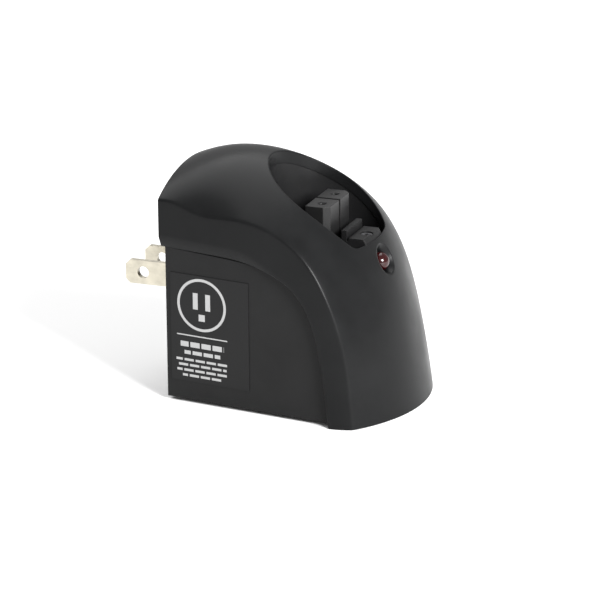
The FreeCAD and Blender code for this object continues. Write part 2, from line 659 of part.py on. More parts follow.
SHEET_METAL = 0.9
bracket_y = (T_Y - 4, T_Y + 4)
bracket_x = CORE_HALF_X + 0.05
strap_half = bracket_x + SHEET_METAL
strap_z = (CORE_TOP + 0.02, CORE_TOP + SHEET_METAL)
bracket_parts = [box("bracket_top", (-strap_half, strap_half), bracket_y, strap_z)]
for side in (-1, 1):
    leg = sorted((side * bracket_x, side * strap_half))
    foot = sorted((side * bracket_x, side * (CORE_HALF_X + 4.5)))
    bracket_parts.append(box("bracket_leg_%d" % side, leg, bracket_y, (FLOOR_TOP, strap_z[1])))
    bracket_parts.append(box("bracket_foot_%d" % side, foot, bracket_y, (FLOOR_TOP, FLOOR_TOP + 0.8)))
node(fuse("transformer_bracket", bracket_parts), "transformer_bracket")
pad_piece = box("transformer_pad", (-12.0, 12.0), (T_Y - 5, T_Y + 5), (FLOOR_TOP, T_Z))
node(pad_piece, "transformer_pad")

# ---------------------------------------------------------------------------------------
# circuit board with its components, in the front of the casing
# ---------------------------------------------------------------------------------------
BOARD_Z = FLOOR_TOP + 4.0
BOARD_TOP = BOARD_Z + DIM["board_thick"]
board_plate = box("board_plate", (-12.8, 12.8), (-55.5, -39.2), (BOARD_Z, BOARD_TOP))
bind(board_plate, Height="sheet.board_thick")
POSTS = ((-10.5, -41.4), (10.5, -41.4), (10.5, -53.3))
board_holes = []
for number, (x, y) in enumerate(POSTS, start=1):
    board_holes.append(cylinder("board_hole_%d" % number, 1.2, 10.0, (x, y, BOARD_Z - 4)))
node(cut_all("main_board", board_plate, board_holes), "main_board")

for number, (x, y) in enumerate(POSTS, start=1):
    foot = cylinder("post_foot_%d" % number, 2.2, 4.0, (x, y, FLOOR_TOP))
    pin = cylinder("post_pin_%d" % number, 1.1, 7.0, (x, y, FLOOR_TOP))
    node(fuse("board_post_%d" % number, [foot, pin]), "board_post_%d" % number)

can = cylinder("can_body", 4.0, 11.5, (7.2, -47.6, BOARD_TOP + 0.2))
can_foot = cylinder("can_foot", 3.6, 0.3, (7.2, -47.6, BOARD_TOP))
node(fuse("smoothing_capacitor", [can, can_foot]), "smoothing_capacitor")


def round_run(label, points, radius):
    """Cylinders along a list of points, with a ball in every bend."""
    pieces = []
    for number in range(len(points) - 1):
        start = V(*points[number])
        along = V(*points[number + 1]) - start
        turn = FreeCAD.Rotation(V(0, 0, 1), along)
        pieces.append(cylinder("%s_run_%d" % (label, number), radius, along.Length, tuple(start), turn))
        if number:
            ball = doc.addObject("Part::Sphere", "%s_bend_%d" % (label, number))
            ball.Radius = radius
            ball.Placement.Base = start
            pieces.append(ball)
    return pieces


def axial_part(label, x_span, y, barrel_radius, barrel_length):
    """Barrel on a wire whose two ends turn down to the board."""
    level = BOARD_TOP + barrel_radius + 0.1
    barrel_start = (0.5 * (x_span[0] + x_span[1] - barrel_length), y, level)
    pieces = round_run(label, [
        (x_span[0], y, BOARD_TOP),
        (x_span[0], y, level),
        (x_span[1], y, level),
        (x_span[1], y, BOARD_TOP),
    ], 0.3)
    pieces.append(cylinder(label + "_barrel", barrel_radius, barrel_length, barrel_start, "x"))
    return node(fuse(label, pieces), label)


for number in range(4):
    axial_part("rectifier_diode_%d" % (number + 1), (-11.4, -3.0), -44.6 - 2.9 * number, 1.25, 4.6)
axial_part("light_resistor", (2.8, 9.2), -41.6, 0.9, 3.6)

chip_body = box("chip_body", (-0.9, 2.0), (-53.4, -48.4), (BOARD_TOP + 0.15, BOARD_TOP + 1.7))
chip_legs = []
for number in range(4):
    y = -53.0 + 1.27 * number
    chip_legs.append(box("chip_leg_%d" % number, (-1.7, 2.8), (y, y + 0.4), (BOARD_TOP, BOARD_TOP + 0.5)))
node(fuse("charge_controller", [chip_body] + chip_legs), "charge_controller")

# ---------------------------------------------------------------------------------------
# status light: lamp, holder inside the light housing and two leads down to the board
# ---------------------------------------------------------------------------------------
LAMP_BACK = -8.6
lamp_radius = DIM["led_size"] / 2
lamp_parts = [
    cylinder("lamp_flange", lamp_radius + 0.4, 1.0, on_led_axis(LAMP_BACK), LED_AXIS),
    cylinder("lamp_body", lamp_radius, 5.9, on_led_axis(LAMP_BACK), LED_AXIS),
]
dome = doc.addObject("Part::Sphere", "lamp_dome")
dome.Radius = lamp_radius
bind(dome, Radius="sheet.led_size / 2")
dome.Placement.Base = V(*on_led_axis(LAMP_BACK + 5.9))
lamp_parts.append(dome)
node(fuse("status_light", lamp_parts), "status_light")

HOLDER_TOP = HOUSING_TOP - 2.0
holder_block = box("holder_block", (-3.9, 3.9), (-49.9, HOUSING_REAR - 0.1), (31.0, HOLDER_TOP))
holder_round = cylinder("holder_round", lamp_radius + 0.08, 30.0, on_led_axis(LAMP_BACK + 0.95), LED_AXIS)
seat_start = on_led_axis(LAMP_BACK + 1.05 - 10.0)
holder_seat = cylinder("holder_seat", lamp_radius + 0.6, 10.0, seat_start, LED_AXIS)
holder_pilot = cylinder("holder_pilot", 0.8, 4.0, (0, SCREW_Y, HOLDER_TOP - 3.6))
holder_trim = common("holder_trim", [holder_block, crown_cup])
light_holder = cut_all("light_holder", holder_trim, [holder_round, holder_seat, holder_pilot])
node(light_holder, "light_holder")


def wire(label, points, radius):
    return node(fuse(label, round_run(label, points, radius)), label)


lamp_end = on_led_axis(LAMP_BACK - 0.02)
lamp_turn = on_led_axis(LAMP_BACK - 1.2)
for side, word in ((-1, "left"), (1, "right")):
    x = side * 1.27
    wire("light_lead_" + word, [
        (x, lamp_end[1], lamp_end[2]),
        (x, lamp_turn[1], lamp_turn[2]),
        (x, lamp_turn[1], BOARD_TOP + 0.02),
    ], 0.27)
    x = side * DIM["tower_pitch"] / 2
    wire("contact_wire_" + word, [
        (x, TOWER_Y, WELL_FLOOR - 4.65),
        (x, -38.6, WELL_FLOOR - 7.0),
        (x, -38.6, BOARD_TOP + 6.0),
        (x - side * 0.6, -40.6, BOARD_TOP + 3.2),
        (x - side * 2.6, -42.8, BOARD_TOP + 0.03),
    ], 0.6)
    x = side * (DIM["blade_pitch"] / 2 + 1.43)
    wire("mains_wire_" + word, [
        (x, -14.6, BLADE_Z),
        (x, -14.6, BLADE_Z - 8.0),
        (side * 6.4, -15.9, T_Z + 9.5),
        (side * 6.4, -16.1, T_Z + 7.0),
    ], 0.62)
    wire("output_wire_" + word, [
        (side * 7.2, T_Y - CORE_HALF_Y - 4.75, T_Z + 14.0),
        (side * 8.2, -38.6, T_Z + 12.0),
        (side * 8.6, -38.9, BOARD_TOP + 2.4),
        (side * 7.7, -40.0, BOARD_TOP + 0.03),
    ], 0.55)
FUSE_RADIUS = 1.25
fuse_level = strap_z[1] + 0.02 + FUSE_RADIUS
fuse_parts = [
    cylinder("fuse_barrel", FUSE_RADIUS, 9.0, (-4.5, T_Y, fuse_level), "x"),
    cylinder("fuse_leads", 0.3, 15.0, (-7.5, T_Y, fuse_level), "x"),
]
node(fuse("thermal_fuse", fuse_parts), "thermal_fuse")

# ---------------------------------------------------------------------------------------
# printed label on the left side of the casing
# ---------------------------------------------------------------------------------------
LABEL_FRONT = -23.9
LABEL_REAR = -1.4
LABEL_LOW = 6.0
LABEL_HIGH = 34.8
LABEL_THICK = 0.2
slant = math.atan(FLARE)
label_body = doc.addObject("Part::Box", "label_body")
label_body.Length = LABEL_THICK
label_body.Width = (LABEL_REAR - LABEL_FRONT) / math.cos(slant)
label_body.Height = LABEL_HIGH - LABEL_LOW
edge_x = -half_width(LABEL_FRONT, PROUD)
corner = V(edge_x - LABEL_THICK * math.cos(slant), LABEL_FRONT + LABEL_THICK * math.sin(slant), LABEL_LOW)
label_body.Placement = FreeCAD.Placement(corner, FreeCAD.Rotation(V(0, 0, 1), -math.degrees(slant)))
node(label_body, "side_label")

# ---------------------------------------------------------------------------------------
# move to the origin of the part, check and write
# ---------------------------------------------------------------------------------------
to_origin = FreeCAD.Placement(V(0, -REAR_EDGE, -BLADE_Z), FreeCAD.Rotation())
for obj in nodes.values():
    obj.Placement = to_origin.multiply(obj.Placement)
doc.recompute()
problems = []
for obj in doc.Objects:
    if "Invalid" in obj.State or "Error" in obj.State:
        problems.append("%s: %s" % (obj.Label, obj.State))
os.makedirs("parts", exist_ok=True)
for label, obj in nodes.items():
    shape = obj.Shape
    if shape.isNull() or not shape.isValid():
        problems.append(label + ": bad shape")
        continue
    solids = shape.Solids
    bounds = shape.BoundBox
    print("%-24s solids %d  volume %9.1f  x %6.1f %6.1f  y %6.1f %6.1f  z %6.1f %6.1f" % (
        label, len(solids), shape.Volume, bounds.XMin, bounds.XMax,
        bounds.YMin, bounds.YMax, bounds.ZMin, bounds.ZMax))
    if len(solids) != 1:
        problems.append(label + ": %d solids" % len(solids))
    shape.exportStep("parts/" + label + ".step")
print(len(nodes), "pieces")
if problems:
    raise RuntimeError("; ".join(problems))
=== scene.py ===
# %% [markdown]
# # A wall-plug charging dock, dressed around its CAD frame
# The dock is a domed black hood over a flat-sided casing with two plug blades.  An appliance
# stands in the round well, on two contact towers, and a small red light shows that it charges.
# Each step below says what a piece is on the real object, how it could be made, and why it
# is made the way it is here.  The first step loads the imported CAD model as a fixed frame.

# %% Load the frame
import json
import math

import bpy
import numpy as np
from mathutils import Matrix, Vector


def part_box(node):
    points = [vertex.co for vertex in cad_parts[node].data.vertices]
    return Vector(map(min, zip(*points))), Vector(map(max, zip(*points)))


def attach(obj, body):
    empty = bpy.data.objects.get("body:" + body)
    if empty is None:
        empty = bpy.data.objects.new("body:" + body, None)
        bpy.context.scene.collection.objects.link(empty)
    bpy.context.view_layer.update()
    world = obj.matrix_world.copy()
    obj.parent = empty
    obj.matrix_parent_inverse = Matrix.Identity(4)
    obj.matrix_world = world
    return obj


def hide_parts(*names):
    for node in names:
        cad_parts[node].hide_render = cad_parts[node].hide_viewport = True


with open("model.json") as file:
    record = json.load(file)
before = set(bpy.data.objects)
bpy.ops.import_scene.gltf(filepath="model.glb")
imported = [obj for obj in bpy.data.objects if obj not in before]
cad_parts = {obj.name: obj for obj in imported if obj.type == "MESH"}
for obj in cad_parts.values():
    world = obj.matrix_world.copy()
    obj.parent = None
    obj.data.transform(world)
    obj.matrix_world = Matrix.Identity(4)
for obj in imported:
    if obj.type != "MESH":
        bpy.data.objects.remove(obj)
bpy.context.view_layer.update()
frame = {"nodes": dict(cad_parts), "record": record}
nodes = frame["nodes"]
print("CAD nodes", len(nodes))

# %% [markdown]
# ## Two ways to say where a point is
# The frame is in metres, with its origin on the wall face between the blades.  A housing is
# easier to draw from the table up, so the shapes here are worked out in millimetres, with
# height counted from the table and y from the rear end of the casing sides.  One function
# takes them to the frame, and it reads the height of the table from the CAD hood.

# %% From drawing to frame
MM = 0.001
PAD_PROUD = 1.2     # the wall pad and the hood reach this far behind the casing sides
table_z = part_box("hood_shell")[0].z


def to_frame(points):
    """Millimetres from the table and the casing rear become metres of the frame."""
    return np.asarray(points, float) * MM + np.array([0.0, -PAD_PROUD * MM, table_z])


print("table at z", round(table_z, 4))

# %% [markdown]
# ## The camera, the floor and the light
# The camera comes first, because everything else is judged through it.  It stands about a
# metre away, to the left of the dock and a little above it, with a long lens, so the far
# side of the dock hardly shrinks.  Its three axes are worked out from the three turns.

# %% Camera
camera_data = bpy.data.cameras.new("camera")
camera = bpy.data.objects.new("camera", camera_data)
bpy.context.scene.collection.objects.link(camera)
bpy.context.scene.camera = camera
camera_data.sensor_width = 36.0
camera_data.lens = 231.6
camera_data.clip_start = 0.05
CAMERA_YAW = 0.3747
CAMERA_PITCH = 0.3213
CAMERA_ROLL = -0.009
level = math.cos(CAMERA_PITCH)
aim = Vector((math.cos(CAMERA_YAW) * level, math.sin(CAMERA_YAW) * level, -math.sin(CAMERA_PITCH)))
flat_right = Vector((math.sin(CAMERA_YAW), -math.cos(CAMERA_YAW), 0.0))
flat_up = flat_right.cross(aim)
right = flat_right * math.cos(CAMERA_ROLL) + flat_up * math.sin(CAMERA_ROLL)
up = flat_up * math.cos(CAMERA_ROLL) - flat_right * math.sin(CAMERA_ROLL)
place = to_frame((-880.6, -375.1, 338.7))
turn = Matrix((right, up, -aim)).transposed().to_4x4()
camera.matrix_world = Matrix.Translation(Vector(place)) @ turn
print("camera at", [round(v, 3) for v in place])

# %% [markdown]
# The dock stands on a plain pale sheet that runs on past every edge of the view.  The light
# is that of a small product studio: a broad panel overhead and behind, a smaller one in
# front and to the left that lights the bend from side to front, and a pale room all round,
# which keeps the shadows thin.  The Standard transform keeps the sheet white and the black
# plastic dark.

# %% Floor and lights
def plain_material(name, colour, rough):
    """A shader with one colour and one roughness, set on its own sockets."""
    material = bpy.data.materials.new(name)
    material.use_nodes = True
    shader = material.node_tree.nodes["Principled BSDF"]
    shader.inputs["Base Color"].default_value = (*colour, 1.0)
    shader.inputs["Roughness"].default_value = rough
    return material


FLOOR_REACH = 4.0
sheet_mesh = bpy.data.meshes.new("floor")
signs = ((-1, -1), (1, -1), (1, 1), (-1, 1))
corners = [(sx * FLOOR_REACH, sy * FLOOR_REACH, table_z) for sx, sy in signs]
sheet_mesh.from_pydata(corners, [], [(0, 1, 2, 3)])
sheet_mesh.materials.append(plain_material("floor_white", (0.93, 0.93, 0.93), 0.6))
floor = bpy.data.objects.new("floor", sheet_mesh)
bpy.context.scene.collection.objects.link(floor)


def panel_light(name, at, size, watts, target=(0.0, -30.0, 30.0)):
    """A rectangular lamp at a place in drawing millimetres, turned towards the dock."""
    lamp = bpy.data.lights.new(name, "AREA")
    lamp.shape = "RECTANGLE"
    lamp.size, lamp.size_y = size
    lamp.energy = watts
    holder = bpy.data.objects.new(name, lamp)
    holder.location = to_frame(at)
    look = Vector(to_frame(target)) - holder.location
    holder.rotation_euler = look.to_track_quat("-Z", "Y").to_euler()
    bpy.context.scene.collection.objects.link(holder)


panel_light("overhead", (350.0, 250.0, 850.0), (0.9, 0.9), 7.0)
panel_light("front_panel", (-430.0, -760.0, 470.0), (0.3, 0.34), 20.0)
bpy.context.scene.view_settings.view_transform = "Standard"
world = bpy.data.worlds.new("pale_room")
bpy.context.scene.world = world
world.use_nodes = True
room = world.node_tree.nodes["Background"]
room.inputs["Color"].default_value = (1.0, 1.0, 1.0, 1.0)
room.inputs["Strength"].default_value = 0.5

# %% [markdown]
# ## Sheets of points that become meshes
# Every new piece starts as a grid: rows of points, each row a section of the piece.  The
# first helper numbers the quads between the rows.  The second joins several grids into one
# mesh and welds the points that they share, so seams close and nothing is doubled.

# %% Grid and mesh helpers
WELD = 1e-6     # metres


def grid_quads(rows, columns, start=0, ring=False):
    """Quads between neighbouring rows and columns; a ring also joins last column to first."""
    across = columns if ring else columns - 1
    i, j = np.meshgrid(np.arange(rows - 1), np.arange(across), indexing="ij")
    right_of = (j + 1) % columns
    quads = np.stack([i * columns + j, i * columns + right_of, (i + 1) * columns + right_of,
                      (i + 1) * columns + j], axis=-1)
    return quads.reshape(-1, 4) + start


def weld(parts):
    """Joins (points in drawing mm, quads) parts, makes coincident points one, drops unused ones."""
    starts = np.cumsum([0] + [len(points) for points, quads in parts])
    points = np.concatenate([points for points, quads in parts])
    quads = np.concatenate([quads + start for (_, quads), start in zip(parts, starts)])
    keys = np.round(points * MM / WELD).astype(np.int64)
    _, first, place_of = np.unique(keys, axis=0, return_index=True, return_inverse=True)
    used, quads = np.unique(place_of.reshape(-1)[quads], return_inverse=True)
    return points[first[used]], quads.reshape(-1, 4)


def mesh_piece(name, parts, material, keep_sharp=35.0):
    """One object from (points in drawing mm, quads) parts, welded, smooth but for sharp edges."""
    points, quads = weld(parts)
    doubled = quads == np.roll(quads, -1, axis=1)
    whole = ~doubled.any(axis=1)
    pinched = doubled.sum(axis=1) == 1
    triangles = quads[pinched][~doubled[pinched]].reshape(-1, 3)
    faces = quads[whole].tolist() + triangles.tolist()
    mesh = bpy.data.meshes.new(name)
    mesh.from_pydata(to_frame(points).tolist(), [], faces)
    mesh.validate()
    mesh.shade_smooth()
    mesh.set_sharp_from_angle(angle=math.radians(keep_sharp))
    mesh.materials.append(material)
    piece = bpy.data.objects.new(name, mesh)
    bpy.context.scene.collection.objects.link(piece)
    print(name, len(mesh.vertices), "points", len(mesh.polygons), "faces")
    return piece


def stand_for(piece, slot, *replaced):
    """The piece rides on the dock's one body and hides the CAD nodes it replaces; slot is not used.
    """
    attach(piece, "root")
    if replaced:
        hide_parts(*replaced)

# %% [markdown]
# ## Finishes worked out by nodes
# The shells are moulded in black plastic from a finely etched mould: close up it is a
# pebbled satin, further off a soft grey sheen.  A picture of the grain would tile and blur,
# so noise in the object's own metres draws it, with a second, larger noise for the slight
# cloudiness that handling leaves.  Small functions add one node each, so that a finish
# reads as a short list.

# %% Node helpers
def new_finish(name, colour, rough, metal=0.0, specular=0.5):
    """A material with its even values on the shader's own sockets, ready for more nodes."""
    material = plain_material(name, colour, rough)
    shader = material.node_tree.nodes["Principled BSDF"]
    shader.inputs["Metallic"].default_value = metal
    shader.inputs["Specular IOR Level"].default_value = specular
    return material, material.node_tree, shader


def add_noise(tree, size_mm, detail=2.0, stretch=(1.0, 1.0, 1.0)):
    """Noise whose pebbles are about size_mm across, longer where stretch is small."""
    where = tree.nodes.new("ShaderNodeTexCoord")
    scaled = tree.nodes.new("ShaderNodeMapping")
    scaled.inputs["Scale"].default_value = stretch
    noise = tree.nodes.new("ShaderNodeTexNoise")
    noise.inputs["Scale"].default_value = 1.0 / (size_mm * MM)
    noise.inputs["Detail"].default_value = detail
    tree.links.new(where.outputs["Object"], scaled.inputs["Vector"])
    tree.links.new(scaled.outputs["Vector"], noise.inputs["Vector"])
    return noise.outputs["Fac"]


def add_range(tree, value, low, high, start=0.3, stop=0.7):
    """The value taken from start..stop to low..high."""
    node = tree.nodes.new("ShaderNodeMapRange")
    ends = (("From Min", start), ("From Max", stop), ("To Min", low), ("To Max", high))
    for socket, number in ends:
        node.inputs[socket].default_value = number
    tree.links.new(value, node.inputs["Value"])
    return node.outputs["Result"]


def add_blend(tree, factor, colour_a, colour_b):
    """Colour a where the factor is 0, colour b where it is 1; either may be a node's output."""
    node = tree.nodes.new("ShaderNodeMix")
    node.data_type = "RGBA"
    tree.links.new(factor, node.inputs[0])
    for socket, colour in ((node.inputs[6], colour_a), (node.inputs[7], colour_b)):
        if isinstance(colour, tuple):
            socket.default_value = (*colour, 1.0)
        else:
            tree.links.new(colour, socket)
    return node.outputs[2]


def add_bump(tree, shader, height, depth_mm):
    """Relief depth_mm deep between height 0 and 1, put on the shader's normal."""
    bump = tree.nodes.new("ShaderNodeBump")
    bump.inputs["Distance"].default_value = depth_mm * MM
    tree.links.new(height, bump.inputs["Height"])
    tree.links.new(bump.outputs["Normal"], shader.inputs["Normal"])
    return bump


def shade_of(colour, factor):
    """The colour made darker or lighter."""
    return tuple(channel * factor for channel in colour)


# %% Moulded plastics
SOFT_EDGE = 0.3     # radius, in mm, to which the sharp edges of the CAD nodes are shaded


def moulded(name, colour, rough, grain_mm, depth_mm, specular):
    """Etched plastic: pebbled bump, cloudy roughness, slight change of tone, edges shaded soft."""
    material, tree, shader = new_finish(name, colour, rough, specular=specular)
    cloud = add_noise(tree, 9.0, 3.0)
    grain = add_noise(tree, grain_mm, 2.0)
    cloudy = add_range(tree, cloud, 0.0, 1.0)
    tone = add_blend(tree, cloudy, shade_of(colour, 0.88), shade_of(colour, 1.15))
    tree.links.new(tone, shader.inputs["Base Color"])
    tree.links.new(add_range(tree, cloud, rough - 0.04, rough + 0.05), shader.inputs["Roughness"])
    bump = add_bump(tree, shader, grain, depth_mm)
    soft_edge = tree.nodes.new("ShaderNodeBevel")
    soft_edge.inputs["Radius"].default_value = SOFT_EDGE * MM
    tree.links.new(soft_edge.outputs["Normal"], bump.inputs["Normal"])
    return material


# %% [markdown]
# Metals show how they were made: a blade is cut from rolled strip and carries fine lines
# along its length, a screw is turned, a sleeve is drawn.  Stretching the noise along one
# axis draws such lines.  Lacquers and insulation are smooth coats over an uneven body, and
# stacked sheets or wound turns show as a wave.

# %% Metals, wound wire and glazes
def drawn_metal(name, colour, rough, stretch):
    """Metal with fine lines along the axis whose stretch is small, and a faint tarnish."""
    material, tree, shader = new_finish(name, colour, rough, metal=1.0)
    lines = add_noise(tree, 0.16, 3.0, stretch)
    tarnish = add_noise(tree, 2.6, 3.0)
    tone = add_blend(tree, add_range(tree, tarnish, 0.0, 1.0), colour, shade_of(colour, 0.8))
    tree.links.new(tone, shader.inputs["Base Color"])
    tree.links.new(add_range(tree, lines, rough - 0.07, rough + 0.1), shader.inputs["Roughness"])
    add_bump(tree, shader, lines, 0.01)
    return material


def glazed(name, colour, rough, coat):
    """Lacquer, insulation or tinted resin: a smooth coat over a faintly uneven body."""
    material, tree, shader = new_finish(name, colour, rough)
    shader.inputs["Coat Weight"].default_value = coat
    shader.inputs["Coat Roughness"].default_value = 0.06
    body = add_noise(tree, 1.4, 2.0)
    uneven = add_range(tree, body, 0.0, 1.0)
    tone = add_blend(tree, uneven, shade_of(colour, 0.82), shade_of(colour, 1.1))
    tree.links.new(tone, shader.inputs["Base Color"])
    add_bump(tree, shader, body, 0.01)
    return material


def layered(name, colour, dark, pitch_mm, rough, metal):
    """Stacked sheets (along y) or wound turns (along z): a wave whose dark bands are the joints."""
    material, tree, shader = new_finish(name, colour, rough, metal=metal)
    where = tree.nodes.new("ShaderNodeTexCoord")
    wave = tree.nodes.new("ShaderNodeTexWave")
    wave.bands_direction = "Z" if metal == 0.0 else "Y"
    wave.inputs["Scale"].default_value = 0.314 / (pitch_mm * MM)    # 2 pi / 20 per pitch
    wave.inputs["Distortion"].default_value = 0.4
    tree.links.new(where.outputs["Object"], wave.inputs["Vector"])
    joint = add_range(tree, wave.outputs["Fac"], 0.0, 1.0, 0.0, 0.35)
    tree.links.new(add_blend(tree, joint, dark, colour), shader.inputs["Base Color"])
    add_bump(tree, shader, wave.outputs["Fac"], 0.05)
    return material


# %% All the finishes
ALONG_Y = (1.0, 0.04, 1.0)
ALONG_Z = (1.0, 1.0, 0.04)
EVEN = (1.0, 1.0, 1.0)
MOULDED = (     # slot, colour, roughness, grain in mm, depth in mm, specular
    ("black_hood", (0.0062, 0.0064, 0.0067), 0.34, 0.22, 0.012, 0.13),
    ("black_casing", (0.0105, 0.0105, 0.0107), 0.44, 0.22, 0.012, 0.14),
    ("black_well", (0.0095, 0.0095, 0.0098), 0.38, 0.22, 0.01, 0.16),
    ("black_towers", (0.011, 0.011, 0.0112), 0.36, 0.3, 0.006, 0.24),
    ("holder_plastic", (0.02, 0.02, 0.02), 0.5, 0.3, 0.01, 0.5),
    ("post_plastic", (0.02, 0.02, 0.02), 0.5, 0.3, 0.01, 0.5),
    ("carrier_plastic", (0.55, 0.53, 0.47), 0.45, 0.3, 0.008, 0.5),
    ("bobbin_plastic", (0.03, 0.03, 0.034), 0.4, 0.3, 0.008, 0.5),
    ("pad_rubber", (0.02, 0.02, 0.02), 0.85, 0.5, 0.05, 0.2),
    ("chip_black", (0.012, 0.012, 0.012), 0.55, 0.12, 0.01, 0.5),
    ("board_laminate", (0.02, 0.13, 0.045), 0.35, 0.4, 0.006, 0.5),
)
DRAWN = (       # slot, colour, roughness, stretch of the lines
    ("blade_nickel", (0.62, 0.58, 0.48), 0.34, ALONG_Y),
    ("sleeve_brass", (0.72, 0.52, 0.24), 0.3, ALONG_Z),
    ("screw_steel", (0.1, 0.1, 0.105), 0.38, EVEN),
    ("lead_steel", (0.72, 0.72, 0.7), 0.3, ALONG_Z),
)
LAYERED = (     # slot, colour, joint colour, pitch in mm, roughness, metal
    ("core_steel", (0.2, 0.21, 0.23), (0.04, 0.04, 0.05), 0.5, 0.42, 0.8),
    ("winding_enamel", (0.5, 0.2, 0.05), (0.16, 0.05, 0.01), 0.3, 0.3, 0.0),
)
GLAZED = (      # slot, colour, roughness, weight of the coat
    ("can_sleeve", (0.02, 0.03, 0.1), 0.3, 0.4),
    ("diode_black", (0.015, 0.015, 0.015), 0.35, 0.2),
    ("resistor_tan", (0.55, 0.36, 0.18), 0.35, 0.3),
    ("lamp_red", (0.02, 0.0005, 0.001), 0.12, 0.0),
    ("wire_red", (0.42, 0.02, 0.02), 0.35, 0.2),
    ("wire_black", (0.015, 0.015, 0.015), 0.35, 0.2),
    ("wire_yellow", (0.6, 0.4, 0.03), 0.35, 0.2),
    ("fuse_white", (0.7, 0.7, 0.65), 0.3, 0.3),
)
finish = {}
for make, table in ((moulded, MOULDED), (drawn_metal, DRAWN), (layered, LAYERED), (glazed, GLAZED)):
    for row in table:
        finish[row[0]] = make(*row)
print("finishes", len(finish))

# %% [markdown]
# The label is a dark film printed in pale grey.  A generic plug sign in a ring, an underline
# and rows of plain dashes stand for its print: rings and boxes are compared in millimetres
# of the object's own coordinates, and a gap is left after every dash of a row.

# %% Printed film
FILM = (0.0105, 0.0105, 0.0108)
INK = (0.36, 0.36, 0.36)
RING_CENTRE = (-11.6, -1.9)     # y and z of the frame, in mm
RING_RADIUS, RING_HALF = 6.7, 0.36
SIGN = ((0.0, 7.3, -8.55, 0.16), (-1.8, 0.7, 0.9, 2.2), (1.8, 0.7, 0.9, 2.2), (0.0, 0.9, -3.4, 0.9))
PRINT_ROWS = ((-11.0, 0.7, 6.3), (-13.2, 0.5, 5.2), (-15.2, 0.32, 7.6),
              (-16.6, 0.32, 7.0), (-18.0, 0.32, 7.4), (-19.4, 0.32, 5.8))


def printed_film(name):
    """Film with a ring, a plug sign, an underline and dashed rows, all worked out from y and z."""
    material, tree, shader = new_finish(name, FILM, 0.38, specular=0.16)
    where = tree.nodes.new("ShaderNodeTexCoord")
    placed = tree.nodes.new("ShaderNodeMapping")
    placed.inputs["Scale"].default_value = (0.0, 1.0 / MM, 1.0 / MM)
    placed.inputs["Location"].default_value = (0.0, -RING_CENTRE[0], -RING_CENTRE[1])
    apart = tree.nodes.new("ShaderNodeSeparateXYZ")
    length = tree.nodes.new("ShaderNodeVectorMath")
    length.operation = "LENGTH"
    tree.links.new(where.outputs["Object"], placed.inputs["Vector"])
    tree.links.new(placed.outputs["Vector"], apart.inputs["Vector"])
    tree.links.new(placed.outputs["Vector"], length.inputs[0])
    y, z, far = apart.outputs["Y"], apart.outputs["Z"], length.outputs["Value"]

    def math_node(operation, *values):
        node = tree.nodes.new("ShaderNodeMath")
        node.operation = operation
        for socket, value in zip(node.inputs, values):
            if isinstance(value, float):
                socket.default_value = value
            else:
                tree.links.new(value, socket)
        return node.outputs[0]

    def box(y_at, y_half, z_at, z_half):
        in_y = math_node("COMPARE", y, y_at, y_half)
        in_z = math_node("COMPARE", z, z_at, z_half)
        return math_node("MULTIPLY", in_y, in_z)

    ink = [math_node("COMPARE", far, RING_RADIUS, RING_HALF)]
    ink += [box(*mark) for mark in SIGN]
    for z_at, z_half, y_half in PRINT_ROWS:
        along_row = math_node("FRACT", math_node("MULTIPLY_ADD", y, 0.31, z_at * 0.37 + 20.0))
        dash = math_node("GREATER_THAN", along_row, 0.16)
        ink.append(math_node("MULTIPLY", box(0.0, y_half, z_at, z_half), dash))
    printed = ink[0]
    for mark in ink[1:]:
        printed = math_node("MAXIMUM", printed, mark)
    tree.links.new(add_blend(tree, printed, FILM, INK), shader.inputs["Base Color"])
    add_bump(tree, shader, add_noise(tree, 0.5, 2.0), 0.004)
    return material


finish["label_film"] = printed_film("label_film")
print("label finish ready")

# %% [markdown]
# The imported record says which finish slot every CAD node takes, so one loop dresses them
# all, those inside the shells as well.

# %% Dress the CAD nodes
for part in frame["record"]["subparts"]:
    shown = nodes[part["node"]]
    wanted = finish[part["material_slot"]]
    if not shown.data.materials:
        shown.data.materials.append(wanted)
    for holder in shown.material_slots:
        holder.material = wanted

# %% [markdown]
# ## The crown: arcs fanned about a line
# The top of the hood is one moulded skin that domes from the rear edge, over the top and
# down the front.  It could be sculpted, but a dome drawn by rule stays fair.  Flat arcs are
# fanned about a line under and behind the dock, as the CAD model does.  Each arc has a reach
# and a radius, and a spline carries both from one arc to the next.

# %% Spline and crown
def spline_through(at, values):
    """Natural cubic spline: the bend at each knot comes from one small linear system."""
    at, values = np.asarray(at, float), np.asarray(values, float)
    gap = np.diff(at)
    system = np.eye(len(at))
    target = np.zeros(len(at))
    inner = np.arange(1, len(at) - 1)
    system[inner, inner - 1] = gap[:-1]
    system[inner, inner] = 2.0 * (gap[:-1] + gap[1:])
    system[inner, inner + 1] = gap[1:]
    target[inner] = 6.0 * np.diff(np.diff(values) / gap)
    bend = np.linalg.solve(system, target)

    def curve(x):
        k = np.clip(np.searchsorted(at, x) - 1, 0, len(at) - 2)
        done, rest, g = x - at[k], at[k + 1] - x, gap[k]
        cubic = (bend[k] * rest ** 3 + bend[k + 1] * done ** 3) / (6.0 * g)
        before = (values[k] / g - bend[k] * g / 6.0) * rest
        after = (values[k + 1] / g - bend[k + 1] * g / 6.0) * done
        return cubic + before + after
    return curve


FAN_Y, FAN_Z = 20.0, -20.0
STATION_ANGLES = (8.0, 20.0, 32.0, 44.0, 56.0, 68.0, 80.0)
crown_reach = spline_through(STATION_ANGLES, (75.5, 88.2, 94.4, 94.9, 90.7, 86.9, 84.7))
crown_radius = spline_through(STATION_ANGLES, (60.0, 29.5, 35.0, 52.0, 55.0, 43.5, 38.0))


